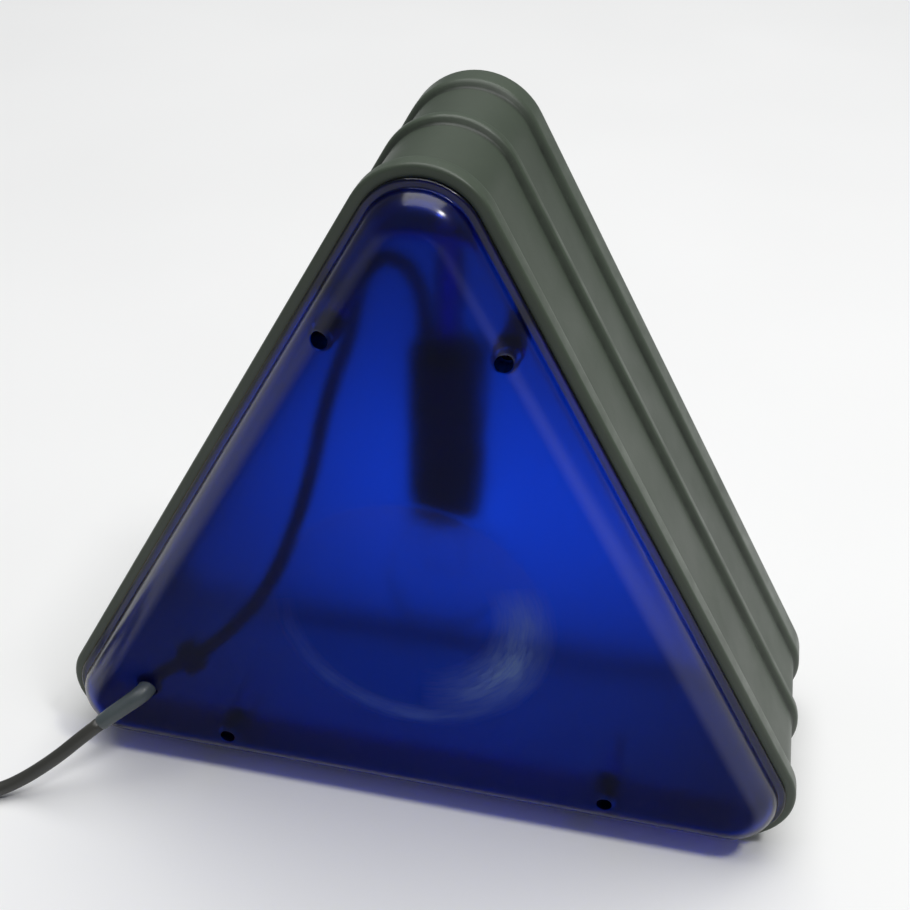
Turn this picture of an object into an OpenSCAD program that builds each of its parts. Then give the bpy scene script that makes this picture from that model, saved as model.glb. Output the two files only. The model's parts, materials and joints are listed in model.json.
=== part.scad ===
// Triangular table lamp: a ribbed housing ring with a blue tray cover on one side and an opal
// panel on the other, an E14 lampholder hung from the apex, and a mains cord with an in-line
// rocker switch and a flat two-pin plug. The cord beyond the switch is wound into a flat coil.
// Axes: X across the lamp, +Y from the blue cover to the opal panel, +Z up. The origin is on the
// table, under the middle of the lamp. Millimetres.

/* [Housing] */
// Overall width of the triangular housing
body_w = 280; // [276:1:284]
// Depth of the housing ring, from its cover edge to its panel edge
housing_d = 84; // [82:1:88]
// Outer radius of the three rounded corners
corner_r = 24; // [23:0.5:25]
// How far the flat bands lie below the beads
band_recess = 2.2; // [1.6:0.1:2.4]
// Wall thickness of the ring
wall_t = 2.6; // [2.4:0.1:2.8]
// Width of the bead at the cover edge
front_bead_w = 7; // [6:0.5:9]
// Width of the bead at the panel edge
rear_bead_w = 12; // [10:0.5:13]
// Width of the slim ridge between the two bands
ridge_w = 4; // [3:0.5:5]
// Distance from the cover edge to the middle of the slim ridge
ridge_pos = 41; // [39:1:43]

/* [Cover] */
// How far the blue cover stands out of the ring
cover_h = 12; // [11.5:0.5:12.5]
// Wall thickness of the blue cover
cover_t = 2.2; // [2:0.1:2.4]
// Length of the skirt that the cover pushes into the ring
skirt_len = 14; // [12:1:15]
// Radius of the round dish in the cover's face
dish_r = 47.5; // [44:0.5:49]
// Depth of the round dish
dish_d = 8; // [6:0.5:8]
// Height of the dish's centre above the table
dish_z = 94; // [92:1:96]
// Diameter of the screw wells in the cover
well_dia = 5.5; // [5.2:0.1:5.8]

/* [Lamp] */
// Diameter of the lampholder
holder_dia = 28; // [27:0.5:29]
// Height of the lampholder's mouth above the table
mouth_z = 105; // [103:1:107]
// Height of the lampholder, without its threaded tube
holder_h = 67; // [66:1:68]
// Diameter of the bulb's globe
bulb_dia = 45; // [40:1:45]
// Length of the bulb, from its contact to its globe
bulb_len = 78; // [76:1:79]

/* [Cord] */
// Diameter of the mains cord
cord_d = 5.2; // [5:0.1:5.3]
// Length of the in-line switch
switch_len = 58; // [56:1:58]
// Width of the in-line switch
switch_w = 26; // [25:1:27]
// Height of the in-line switch
switch_h = 17; // [17:0.5:18]
// Angle that the rocker turns through, from off to on
rocker_swing = 18; // [16:1:18]

/* [Hidden] */

$fn = 64;
facet = 32;

// How far a straight edge stays inside the round corner that it runs into
seam = 0.004;

// The triangle
foot_lift = 0.5;
half_a = body_w / 2 - corner_r;
corner_z = foot_lift + corner_r;
centroid_z = corner_z + half_a / sqrt(3);
apex_z = corner_z + half_a * sqrt(3);
corners = [[-half_a, corner_z], [half_a, corner_z], [0, apex_z]];

// Depths along Y
front_y = -(housing_d - cover_h) / 2;
rear_y = front_y + housing_d;
face_y = front_y - cover_h;
panel_t = 3;
bezel_t = 3;
ledge_t = 2;
ledge_w = 4;
bezel_w = 9;
ledge_y = rear_y - bezel_t - panel_t;
gap = 0.3;

// Distances of the ring's surfaces inwards from its outer outline
band_in = band_recess;
wall_in = band_recess + wall_t;
slide_in = wall_in + gap;
skirt_in = slide_in + 2;

// Half the width of the triangle at a height, for an outline set in by some distance
function side_x(z, inset) = half_a + (corner_r - inset - (z - corner_z) * sin(30)) / cos(30);

// A rounded triangle in the XZ plane, drawn with Z as the sketch's second axis
module outline(inset) {
    rr = corner_r - inset;
    reach = rr - seam;
    lean = reach * [cos(30), sin(30)];
    lean_left = [-lean[0], lean[1]];
    polygon([corners[0] - [0, reach], corners[1] - [0, reach], corners[1] + lean,
             corners[2] + lean, corners[2] + lean_left, corners[0] + lean_left]);
    for (c = corners) translate(c) circle(r = rr);
}

// A flat slab between two depths, from a sketch in the XZ plane
module slab(y0, y1) {
    translate([0, y1, 0]) rotate([90, 0, 0]) linear_extrude(y1 - y0) children();
}

// A round bar along +Y that starts at a point
module bar_y(p, dia, len) {
    translate(p) rotate([-90, 0, 0]) cylinder(d = dia, h = len);
}

// A ring between two insets and two depths
module ring(a, b, y0, y1) {
    slab(y0, y1) difference() {
        outline(a);
        outline(b);
    }
}

// The cover's four screws: two near the apex and two near the base
screw_pts = [[-27.8, 197], [27.8, 197], [-72.5, 19.5], [72.5, 19.5]];
well_floor_y = front_y - 2.5;
boss_y = front_y + 1;
boss_len = 24;
rib_y = front_y + skirt_len + 1;
screw_dia = 2.9;

// The bracket across the apex
bracket_z = 214;
bracket_t = 2;
bracket_w = 22;
bracket_half = 23.5;
tab_len = 17;
holder_y = 6;

// The pads inside the ring that the bracket's tabs are screwed to
pad_z = bracket_z + 7;
pad_h = 4;
pilot_dia = 2.5;

module boss_rib(p) {
    top = p[1] > centroid_z;
    side = sign(p[0]);
    reach = top ? corner_r - wall_in - ((side * p[0] - half_a) * cos(30) + (p[1] - corner_z) * sin(30))
                : p[1] - foot_lift - wall_in;
    turn = top ? side * 60 : 180;
    translate([p[0], rib_y, p[1]]) rotate([0, turn, 0]) translate([-1, 0, 2])
        cube([2, boss_y + boss_len - rib_y, reach - 1]);
}

module bracket_pad(side) {
    translate([side * side_x(pad_z, wall_in), holder_y, pad_z]) rotate([0, side * 60, 0])
        translate([0, 0, -pad_h]) cylinder(d = 10, h = pad_h + 0.5);
}

module housing() {
    color([0.25, 0.29, 0.26]) difference() {
        union() {
            ring(band_in, wall_in, front_y, rear_y);
            ring(0, wall_in - 1, front_y, front_y + front_bead_w);
            ring(0, wall_in - 1, front_y + ridge_pos - ridge_w / 2, front_y + ridge_pos + ridge_w / 2);
            ring(0, wall_in - 1, rear_y - rear_bead_w, rear_y);
            ring(band_in + 1, wall_in + ledge_w, ledge_y - ledge_t, ledge_y);
            for (p = screw_pts) {
                bar_y([p[0], boss_y, p[1]], 7.5, boss_len);
                boss_rib(p);
            }
            for (s = [-1, 1]) bracket_pad(s);
        }
        for (p = screw_pts) bar_y([p[0], boss_y - 1, p[1]], pilot_dia, 16);
        for (s = [-1, 1]) pad_screw_hole(s);
    }
}

module pad_screw_hole(side) {
    translate([side * side_x(pad_z, wall_in), holder_y, pad_z]) rotate([0, side * 60, 0])
        translate([0, 0, -pad_h - 1]) cylinder(d = pilot_dia, h = pad_h + 2);
}

module opal_panel() {
    color([0.94, 0.94, 0.9]) slab(ledge_y + 0.05, ledge_y + panel_t - 0.05)
        outline(slide_in);
}

module panel_bezel() {
    color([0.25, 0.29, 0.26]) ring(slide_in, slide_in + bezel_w, rear_y - bezel_t, rear_y);
}

// The cover's shoulder is a quarter round from the flange to the flat face
flange_in = 3.6;
flange_t = 1.8;
wall_start = 6.2;
shoulder_r = cover_h - flange_t;
face_in = wall_start + shoulder_r;

// The dome inside the shoulder, set in from its outer surface by t. Its foot runs on into the flange
module dome(t, foot) {
    round_r = shoulder_r - t;
    hull() for (a = [0:15:90]) {
        y = face_y + shoulder_r - round_r * sin(a);
        slab(y, y + (a == 0 ? foot : 0.01)) outline(wall_start + t + round_r * (1 - cos(a)), $fn = facet);
    }
}

dish_ball = (dish_r * dish_r + dish_d * dish_d) / (2 * dish_d);

module dish_sphere(r) {
    translate([0, face_y + dish_d - dish_ball, dish_z]) sphere(r = r, $fn = 96);
}

// The back of the dish, a spherical cap behind the face
module dish_back() {
    intersection() {
        dish_sphere(dish_ball + cover_t);
        bar_y([0, face_y + 0.5, dish_z], 2 * dish_r + 14, dish_d + cover_t);
    }
}

exit_p = [-103, face_y, 38];
hole_dia = 7.4;

module blue_cover() {
    color([0.02, 0.06, 0.5, 0.6]) difference() {
        union() {
            difference() {
                dome(0, 0.8);
                dome(cover_t, 1.2);
            }
            ring(flange_in, wall_start + cover_t + 0.5, front_y - flange_t, front_y);
            ring(slide_in, skirt_in, front_y - 0.5, front_y + skirt_len);
            dish_back();
            intersection() {
                for (p = screw_pts) bar_y([p[0], face_y, p[1]], well_dia + 3, cover_h);
                dome(0.4, 0.8);
            }
            for (p = screw_pts) bar_y([p[0], front_y - 4, p[1]], well_dia + 4, boss_y - gap - front_y + 4);
        }
        dish_sphere(dish_ball);
        for (p = screw_pts) {
            bar_y([p[0], face_y - 1, p[1]], well_dia, well_floor_y - face_y + 1);
            bar_y([p[0], face_y - 1, p[1]], 3.2, 20);
        }
        bar_y(exit_p - [0, 1, 0], hole_dia, 10);
    }
}

module cover_screws() {
    color([0.12, 0.12, 0.12]) for (p = screw_pts) {
        bar_y([p[0], well_floor_y, p[1]], screw_dia - 0.45, 16);
        difference() {
            bar_y([p[0], well_floor_y - 2.2, p[1]], 5, 2.2);
            translate([p[0], well_floor_y - 1.7, p[1]]) cube([3, 1.2, 0.8], center = true);
            translate([p[0], well_floor_y - 1.7, p[1]]) cube([0.8, 1.2, 3], center = true);
        }
    }
}

foot_pts = [[-84, front_y + 24], [84, front_y + 24], [-84, front_y + 57], [84, front_y + 57]];

module foot_pads() {
    color([0.08, 0.08, 0.08]) for (p = foot_pts)
        translate([p[0], p[1], 0]) cylinder(d = 12, h = foot_lift + band_recess);
}

module tab(side) {
    translate([side * side_x(pad_z, wall_in), holder_y, pad_z]) rotate([0, side * 60, 0])
        translate([0, 0, -pad_h - bracket_t]) children();
}

module apex_bracket() {
    color([0.7, 0.71, 0.72]) difference() {
        union() {
            translate([-bracket_half, holder_y - bracket_w / 2 + 1, bracket_z - bracket_t])
                cube([2 * bracket_half, bracket_w - 2, bracket_t]);
            for (s = [-1, 1]) tab(s)
                translate([-tab_len / 2, -bracket_w / 2, 0]) cube([tab_len, bracket_w, bracket_t]);
        }
        translate([0, holder_y, bracket_z - 5]) cylinder(d = tube_dia + 0.4, h = 10);
        for (s = [-1, 1]) tab(s) translate([0, 0, -1]) cylinder(d = 3.2, h = 4);
    }
}

module bracket_screws() {
    color([0.75, 0.75, 0.76]) for (s = [-1, 1]) tab(s) {
        translate([0, 0, -2]) cylinder(d = 5.6, h = 2);
        cylinder(d = screw_dia - 0.45, h = 6);
    }
}

// The lampholder and its parts, all on one vertical axis
tube_dia = 10;
cap_top = mouth_z + holder_h;
cap_z = mouth_z + 44;
tube_top = bracket_z + 8;
shell_z = mouth_z + 8;
shell_h = 18;
cord_offset = 8.5;

module on_axis(z) {
    translate([0, holder_y, z]) children();
}

module hanging_tube() {
    color([0.8, 0.66, 0.3]) on_axis(cap_top - 6) difference() {
        cylinder(d = tube_dia, h = tube_top - cap_top + 6);
        translate([0, 0, -1]) cylinder(d = tube_dia - 3, h = tube_top);
    }
}

module tube_nuts() {
    color([0.75, 0.75, 0.76]) for (z = [bracket_z - bracket_t - 3, bracket_z]) on_axis(z)
        difference() {
            cylinder(d = 16, h = 3, $fn = 6);
            translate([0, 0, -1]) cylinder(d = tube_dia + 0.1, h = 5);
        }
}

module holder_cap() {
    edge = 5;
    color([0.06, 0.06, 0.06]) on_axis(cap_z) difference() {
        union() {
            cylinder(d = holder_dia, h = holder_h - 44 - edge);
            cylinder(d = holder_dia - 2 * edge, h = holder_h - 44);
            translate([0, 0, holder_h - 44 - edge]) rotate_extrude()
                translate([holder_dia / 2 - edge, 0]) circle(r = edge);
        }
        translate([0, 0, -1]) cylinder(d = holder_dia - 4, h = holder_h - 44 - edge + 1);
        translate([0, 0, -1]) cylinder(d = tube_dia + 0.1, h = holder_h);
        translate([-cord_offset, 0, -1]) cylinder(d = cord_d + 0.2, h = holder_h);
    }
}

module holder_skirt() {
    color([0.06, 0.06, 0.06]) on_axis(mouth_z) difference() {
        union() {
            cylinder(d = holder_dia - 1, h = 44 - gap);
            for (z = [8, 12, 16, 20, 24]) translate([0, 0, z]) cylinder(d = holder_dia, h = 1.6);
            translate([0, 0, 34]) cylinder(d = holder_dia, h = 10 - gap);
        }
        translate([0, 0, -1]) cylinder(d = holder_dia - 4.4, h = 46);
    }
}

module holder_insert() {
    color([0.85, 0.83, 0.78]) on_axis(shell_z + shell_h) difference() {
        cylinder(d = holder_dia - 5, h = 14);
        for (s = [-1, 1]) translate([s * 6.5, 0, 6]) cylinder(d = 3, h = 9);
        translate([0, 0, -1]) cylinder(d = 3.2, h = 4);
    }
}

module holder_shell() {
    color([0.8, 0.66, 0.3]) on_axis(shell_z) difference() {
        cylinder(d = 16.2, h = shell_h);
        translate([0, 0, -1]) cylinder(d = 15, h = shell_h + 2);
    }
}

module holder_contact() {
    color([0.8, 0.66, 0.3]) on_axis(shell_z + shell_h - 1.2) {
        translate([-6, -2, 0.7]) cube([12, 4, 0.5]);
        translate([0, 0, -0.8]) cylinder(d = 3, h = 1.6);
    }
}

module terminal_screws() {
    color([0.75, 0.75, 0.76]) on_axis(shell_z + shell_h + 7) for (s = [-1, 1])
        translate([s * 6.5, 0, 0]) {
            cylinder(d = 2.6, h = 7);
            translate([0, 0, 7]) cylinder(d = 4, h = 1.6);
        }
}

// The bulb hangs with its contact up
bulb_top = shell_z + shell_h - 2.1;
globe_z = bulb_top - bulb_len + bulb_dia / 2;
neck_z = bulb_top - 18;

module globe(t) {
    sphere_r = bulb_dia / 2 - t;
    on_axis(globe_z) sphere(r = sphere_r);
    on_axis(globe_z + bulb_dia * 0.28) cylinder(r1 = bulb_dia * 0.415 - t, r2 = 6.6 - t,
                                                h = neck_z - globe_z - bulb_dia * 0.28);
}

module bulb_glass() {
    color([0.9, 0.93, 0.95, 0.35]) difference() {
        globe(0);
        globe(0.8);
    }
}

module bulb_cap() {
    color([0.78, 0.78, 0.76]) on_axis(neck_z) difference() {
        union() {
            cylinder(d = 13.4, h = 15);
            for (i = [0:3]) translate([0, 0, 3 + 2.8 * i]) rotate_extrude()
                translate([6.5, 0]) circle(r = 0.7);
        }
        translate([0, 0, -1]) cylinder(d = 12.6, h = 15);
    }
}

module bulb_insulator() {
    color([0.05, 0.05, 0.06]) on_axis(neck_z + 15) cylinder(d1 = 12, d2 = 7, h = 2.2);
}

module bulb_contact() {
    color([0.7, 0.7, 0.68]) on_axis(neck_z + 17.2) cylinder(d = 4, h = 0.7);
}

module bulb_stem() {
    color([0.85, 0.9, 0.92, 0.5]) on_axis(globe_z + 4) {
        cylinder(d = 3, h = neck_z - globe_z - 5);
        translate([0, 0, neck_z - globe_z - 9]) cylinder(d1 = 3, d2 = 10, h = 5);
    }
}

module bulb_filament() {
    color([0.3, 0.3, 0.32]) {
        for (s = [-1, 1]) translate([s * 8, holder_y, globe_z + 2]) cylinder(d = 0.6, h = 16);
        for (s = [-1, 1]) translate([s * 8, holder_y, globe_z + 17.7]) rotate([0, -s * 90, 0])
            cylinder(d = 0.6, h = 7);
        translate([-8, holder_y, globe_z + 2]) rotate([0, 90, 0]) cylinder(d = 0.9, h = 16);
    }
}

// Routes of the cord, from the lampholder to the plug
inner_route = [[-8.5, 6, 164], [-8.5, 6, 172], [-8.5, 5.5, 182], [-10, 4, 192], [-14, 2, 200],
               [-20, -1, 203], [-25.5, -4, 199], [-28, -7, 190], [-30, -10, 178], [-34, -14, 165],
               [-38, -17, 150], [-41, -20, 134], [-45, -22, 118], [-50, -24, 102], [-56, -26, 87],
               [-64, -28, 72], [-74, -30, 59], [-85, -32, 48], [-94, -35, 42], [-100, -38.5, 39],
               [-103, -44.1, 38]];
grommet_route = [[-103, -47, 38], [-103.6, -50, 37.8], [-105.5, -53, 37], [-109, -56, 35],
                 [-113, -59, 32.5], [-117, -61.5, 29.5]];
near_route = [[-117, -61.5, 29.5], [-124, -66, 24], [-131, -70, 18], [-138, -73, 12.4],
              [-145, -76, 7.6], [-152, -79.5, 4.4], [-160, -83.5, 3.1], [-168, -88, 3],
              [-176, -92.5, 3.4], [-184, -96, 5], [-190, -97.6, 6.2], [-196, -98, 6.5]];
far_route = [[-270, -98, 6.5], [-276, -98, 5.4], [-281, -98, 4.5], [-286, -98, 3.9]];
end_route = [[-290, -19.7, 8.6], [-285, -19.7, 7.8], [-280, -19.7, 7.2], [-275, -19.7, 6.9],
             [-272, -19.7, 6.8]];

// A point on the smooth curve through four points, t running from the second to the third
function smooth(p, q, r, s, t) =
    0.5 * (2 * q + (r - p) * t + (2 * p - 5 * q + 4 * r - s) * t * t + (3 * q - p - 3 * r + s) * t * t * t);
function at(route, i) = route[max(0, min(len(route) - 1, i))];
function refine(route, n) = [
    for (i = [0:len(route) - 2], k = [0:n - 1])
        smooth(at(route, i - 1), at(route, i), at(route, i + 1), at(route, i + 2), k / n),
    route[len(route) - 1]];
function unit(v) = v / norm(v);
function heading(path, i) = unit(at(path, i + 1) - at(path, i - 1));
function across(d) = unit(cross(d, abs(d[2]) > 0.9 ? [1, 0, 0] : [0, 0, 1]));

// A round tube along a path, with its diameter running from d0 to d1
module swept_tube(path, d0, d1, sides) {
    last = len(path) - 1;
    rings = [for (i = [0:last]) let (d = heading(path, i), u = across(d), v = cross(d, u),
                                     r = (d0 + (d1 - d0) * i / last) / 2)
        for (k = [0:sides - 1]) path[i] + r * (cos(360 * k / sides) * u + sin(360 * k / sides) * v)];
    faces = concat(
        [[for (k = [0:sides - 1]) k]],
        [for (i = [0:last - 1], k = [0:sides - 1]) let (m = (k + 1) % sides)
            [i * sides + m, i * sides + k, (i + 1) * sides + k, (i + 1) * sides + m]],
        [[for (k = [sides - 1:-1:0]) last * sides + k]]);
    polyhedron(rings, faces);
}

module inner_cord() {
    color([0.1, 0.1, 0.1]) swept_tube(refine(inner_route, 2), cord_d, cord_d, 8);
}

stop_p = [-89.5, -33.4, 45];

module cord_stop() {
    color([0.85, 0.85, 0.82]) translate(stop_p) rotate([0, 0, 18.6]) rotate([0, 57.6, 0]) difference() {
        cube([9, 10, 8], center = true);
        cylinder(d = cord_d + 0.4, h = 20, center = true);
    }
}

module cord_grommet() {
    color([0.1, 0.1, 0.1]) {
        swept_tube(grommet_route, 7, 5.9, 12);
        bar_y([exit_p[0], exit_p[1] + cover_t + 0.1, exit_p[2]], 10, 1.6);
        bar_y([exit_p[0], exit_p[1] + 0.5, exit_p[2]], hole_dia - 0.2, cover_t);
    }
}

module lead_near() {
    color([0.12, 0.12, 0.11]) swept_tube(near_route, cord_d, cord_d, 8);
}

module lead_far() {
    color([0.12, 0.12, 0.11]) swept_tube(far_route, cord_d, cord_d, 8);
}

module coil_end() {
    color([0.12, 0.12, 0.11]) swept_tube(end_route, cord_d, cord_d, 8);
}

// The coil: four turns side by side, in two layers, standing clear of the table by the tie
coil_c = [-297, -58.85, 0];
tie_t = 1;
coil_mid = 31.2;
coil_across = 4 * 5.3;
coil_up = 2 * 5.3;

module cord_coil() {
    color([0.12, 0.12, 0.11]) translate(coil_c) rotate_extrude()
        translate([coil_mid - coil_across / 2, tie_t]) square([coil_across, coil_up]);
}

module coil_tie() {
    color([0.9, 0.9, 0.9]) translate(coil_c + [coil_mid, 0, tie_t + coil_up / 2]) rotate([90, 0, 0])
        linear_extrude(5, center = true) difference() {
            square([coil_across + 0.4 + 2 * tie_t, coil_up + 2 * tie_t], center = true);
            square([coil_across + 0.4, coil_up], center = true);
        }
}

// The in-line switch lies flat, with its length along X
switch_c = [-233, -98, 0];
split_z = 9;
shell_t = 1.8;
pivot_z = 13;
lever_z = 5;
lever_pin = 1.2;
rocker_l = 20;
rocker_w = 9.6;
pin_dia = 2.4;
lever_rest = 6;

module switch_plan(inset) {
    rr = 8 - inset;
    half_l = switch_len / 2 - 8;
    half_w = switch_w / 2 - 8;
    square([2 * half_l, switch_w - 2 * (inset + seam)], center = true);
    square([switch_len - 2 * (inset + seam), 2 * half_w], center = true);
    for (x = [-half_l, half_l], y = [-half_w, half_w]) translate([x, y]) circle(r = rr);
}

module neck(side) {
    translate([side * (switch_len / 2 - 1), 0, 6.5]) rotate([0, side * 90, 0])
        cylinder(d1 = 11, d2 = 7, h = 9);
}

module screw_post(side, z0, z1, dia) {
    translate([side * 17, side * 8.5, z0]) cylinder(d = dia, h = z1 - z0);
}

module switch_base() {
    color([0.08, 0.08, 0.08]) translate(switch_c) difference() {
        union() {
            difference() {
                linear_extrude(split_z - 0.1) switch_plan(0);
                translate([0, 0, shell_t]) linear_extrude(split_z) switch_plan(shell_t);
            }
            for (s = [-1, 1]) intersection() {
                neck(s);
                translate([-60, -20, 0]) cube([120, 40, split_z - 0.1]);
            }
            for (s = [-1, 1]) screw_post(s, 0.5, split_z - 0.1, 5.4);
        }
        for (s = [-1, 1]) screw_post(s, -1, split_z + 1, 2.6);
        for (s = [-1, 1]) screw_post(s, -1, 2, 4.6);
    }
}

module switch_top() {
    color([0.08, 0.08, 0.08]) translate(switch_c) difference() {
        union() {
            difference() {
                translate([0, 0, split_z]) linear_extrude(switch_h - split_z) switch_plan(0);
                translate([0, 0, split_z - 1]) linear_extrude(switch_h - split_z + 1 - shell_t)
                    switch_plan(shell_t);
            }
            for (s = [-1, 1]) intersection() {
                neck(s);
                translate([-60, -20, split_z]) cube([120, 40, 20]);
            }
            for (s = [-1, 1]) screw_post(s, split_z, switch_h - 1, 5.4);
            for (s = [-1, 1]) translate([-3, s * 6.9 - 1.2, pivot_z - 2.5]) cube([6, 2.4, 5]);
        }
        for (s = [-1, 1]) screw_post(s, split_z - 1, switch_h - 3, 2);
        translate([0, 0, switch_h]) cube([rocker_l + 1.2, rocker_w + 0.8, 12], center = true);
        translate([0, 0, pivot_z]) rotate([90, 0, 0]) cylinder(d = pin_dia, h = 16.2, center = true);
    }
}

module switch_screws() {
    color([0.75, 0.75, 0.76]) translate(switch_c) for (s = [-1, 1]) {
        screw_post(s, 0.3, 1.9, 4.4);
        screw_post(s, 1.9, 13, 1.9);
    }
}

module switch_pin() {
    color([0.75, 0.75, 0.76]) translate(switch_c + [0, 0, pivot_z]) rotate([90, 0, 0])
        cylinder(d = pin_dia, h = 16.2, center = true);
}

// The rocker, drawn level and then turned to its off position
module at_rocker() {
    translate(switch_c + [0, 0, pivot_z]) rotate([0, rocker_swing / 2, 0]) children();
}

module switch_rocker() {
    color([0.08, 0.08, 0.08]) at_rocker() difference() {
        intersection() {
            union() {
                translate([0, 0, -23.5]) rotate([90, 0, 0]) cylinder(r = 28.6, h = rocker_w, center = true);
                translate([0, 0, -1]) cube([8, rocker_w, 8], center = true);
            }
            translate([0, 0, 1.2]) cube([rocker_l, rocker_w, 8.2], center = true);
            translate([0, 0, 21.5]) rotate([90, 0, 0]) cylinder(r = 24.6, h = 20, center = true);
        }
        rotate([90, 0, 0]) cylinder(d = pin_dia + 0.1, h = 20, center = true);
    }
}

module switch_plunger() {
    color([0.85, 0.85, 0.82]) at_rocker() {
        translate([0, 0, -6.1]) cylinder(d = 2, h = 1.2);
        translate([0, 0, -6.1]) sphere(d = 2);
    }
}

// The spring's turns, drawn as closed rings
module switch_spring() {
    color([0.75, 0.75, 0.76]) at_rocker() for (k = [0:2]) translate([0, 0, -4.6 + 0.6 * k])
        rotate_extrude() translate([0.8, 0]) circle(d = 0.5);
}

module switch_lever() {
    color([0.8, 0.66, 0.3]) translate(switch_c + [0, 0, lever_z]) rotate([0, -lever_rest, 0]) {
        translate([-9, -2.5, -0.4]) cube([18, 5, 0.8]);
        rotate([90, 0, 0]) cylinder(d = lever_pin, h = 7.6, center = true);
        translate([7.5, 0, -1]) cylinder(d = 2.4, h = 1);
    }
}

module switch_contacts() {
    color([0.8, 0.66, 0.3]) translate(switch_c) {
        for (s = [-1, 1]) difference() {
            translate([-2.5, s * 3.5 - 0.5, shell_t]) cube([5, 1, 4.4]);
            translate([0, 0, lever_z]) rotate([90, 0, 0])
                cylinder(d = lever_pin + 0.1, h = 10, center = true);
        }
        translate([-2.5, -3.1, shell_t]) cube([5, 6.2, 0.5]);
        translate([5.5, -2.5, shell_t]) cube([10, 5, 1.1]);
        for (x = [-23, 16]) translate([x, -2.5, shell_t]) cube([7, 5, 4]);
    }
}

// The plug lies flat beside the coil, with its pins along +X
plug_tail = [-272, -19.7, 6.8];
plug_h = 13.6;
plug_l = 34;
pin_gap = 18.6;

module plug_slice(x, w, h) {
    translate(plug_tail + [x, 0, 0]) rotate([0, 90, 0]) linear_extrude(1)
        hull() for (s = [-1, 1]) translate([0, s * (w - h) / 2]) circle(d = h, $fn = facet);
}

module plug_body() {
    color([0.08, 0.08, 0.08]) {
        hull() {
            plug_slice(22, 12, 11);
            plug_slice(32, 31, plug_h);
            plug_slice(38, 35, plug_h);
        }
        hull() {
            plug_slice(38, 35, plug_h);
            plug_slice(54, 28, plug_h);
        }
        translate(plug_tail) rotate([0, 90, 0]) cylinder(d1 = 6.4, d2 = 10, h = 23);
        for (s = [-1, 1]) translate(plug_tail + [54, s * pin_gap / 2, 0]) rotate([0, 90, 0])
            cylinder(d = 4, h = 10);
    }
}

module plug_pins() {
    color([0.78, 0.78, 0.76]) for (s = [-1, 1]) translate(plug_tail + [64, s * pin_gap / 2, 0]) {
        rotate([0, 90, 0]) cylinder(d = 4, h = 8);
        translate([8, 0, 0]) sphere(d = 4);
    }
}

housing();
opal_panel();
panel_bezel();
blue_cover();
cover_screws();
foot_pads();
apex_bracket();
bracket_screws();
hanging_tube();
tube_nuts();
holder_cap();
holder_skirt();
holder_insert();
holder_shell();
holder_contact();
terminal_screws();
bulb_glass();
bulb_cap();
bulb_insulator();
bulb_contact();
bulb_stem();
bulb_filament();
inner_cord();
cord_stop();
cord_grommet();
lead_near();
lead_far();
cord_coil();
coil_end();
coil_tie();
switch_base();
switch_top();
switch_screws();
switch_pin();
switch_rocker();
switch_plunger();
switch_spring();
switch_lever();
switch_contacts();
plug_body();
plug_pins();
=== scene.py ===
"""The triangular lamp: detailed pieces, materials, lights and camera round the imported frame."""
import json
import math

import bmesh
import bpy
from mathutils import Matrix, Vector
from mathutils.geometry import delaunay_2d_cdt

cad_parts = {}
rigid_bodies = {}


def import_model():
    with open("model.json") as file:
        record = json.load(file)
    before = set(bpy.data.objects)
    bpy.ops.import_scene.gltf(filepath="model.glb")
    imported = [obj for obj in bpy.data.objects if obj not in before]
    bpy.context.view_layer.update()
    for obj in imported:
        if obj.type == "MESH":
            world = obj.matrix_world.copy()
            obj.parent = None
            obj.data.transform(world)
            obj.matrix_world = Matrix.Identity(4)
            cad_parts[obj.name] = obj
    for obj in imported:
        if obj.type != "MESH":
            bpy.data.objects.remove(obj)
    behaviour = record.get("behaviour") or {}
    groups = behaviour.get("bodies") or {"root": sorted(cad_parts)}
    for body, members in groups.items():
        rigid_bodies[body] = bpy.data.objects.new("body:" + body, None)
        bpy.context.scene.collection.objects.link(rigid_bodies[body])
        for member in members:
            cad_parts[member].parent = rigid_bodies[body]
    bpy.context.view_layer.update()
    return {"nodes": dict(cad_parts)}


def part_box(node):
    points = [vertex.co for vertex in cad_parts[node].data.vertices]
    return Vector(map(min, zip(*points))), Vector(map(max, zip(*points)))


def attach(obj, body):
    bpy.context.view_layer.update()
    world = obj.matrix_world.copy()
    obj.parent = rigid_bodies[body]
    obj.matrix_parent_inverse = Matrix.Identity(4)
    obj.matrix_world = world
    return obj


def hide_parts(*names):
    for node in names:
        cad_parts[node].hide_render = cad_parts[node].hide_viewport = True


for leftover in list(bpy.data.objects):
    bpy.data.objects.remove(leftover)
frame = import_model()
nodes = frame["nodes"]
MM = 0.001


# ---------------------------------------------------------------- camera
def make_camera():
    data = bpy.data.cameras.new("camera")
    cam = bpy.data.objects.new("camera", data)
    bpy.context.scene.collection.objects.link(cam)
    ahead = Vector((-0.1627, 0.7766, -0.6087)).normalized()
    right = Vector((0.9757, 0.2184, 0.0178))
    right = (right - ahead * right.dot(ahead)).normalized()
    up = right.cross(ahead)
    turn = Matrix((right, up, -ahead)).transposed().to_4x4()
    cam.matrix_world = Matrix.Translation((0.0826, -0.3720, 0.3869)) @ turn
    data.sensor_width = 36
    data.lens = 51.71
    data.shift_y = 0.088
    data.clip_start = 0.01
    data.clip_end = 50
    bpy.context.scene.camera = cam


make_camera()


# ---------------------------------------------------------------- mesh helpers
def scaled(points):
    """Points in metres from points in millimetres."""
    return [Vector(p) * MM for p in points]


def smooth_point(p, q, r, s, t):
    """A point a share t of the way from q to r, on the smooth curve through p, q, r and s."""
    return 0.5 * (2 * q + (r - p) * t + (2 * p - 5 * q + 4 * r - s) * t * t
                  + (3 * q - p - 3 * r + s) * t * t * t)


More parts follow.
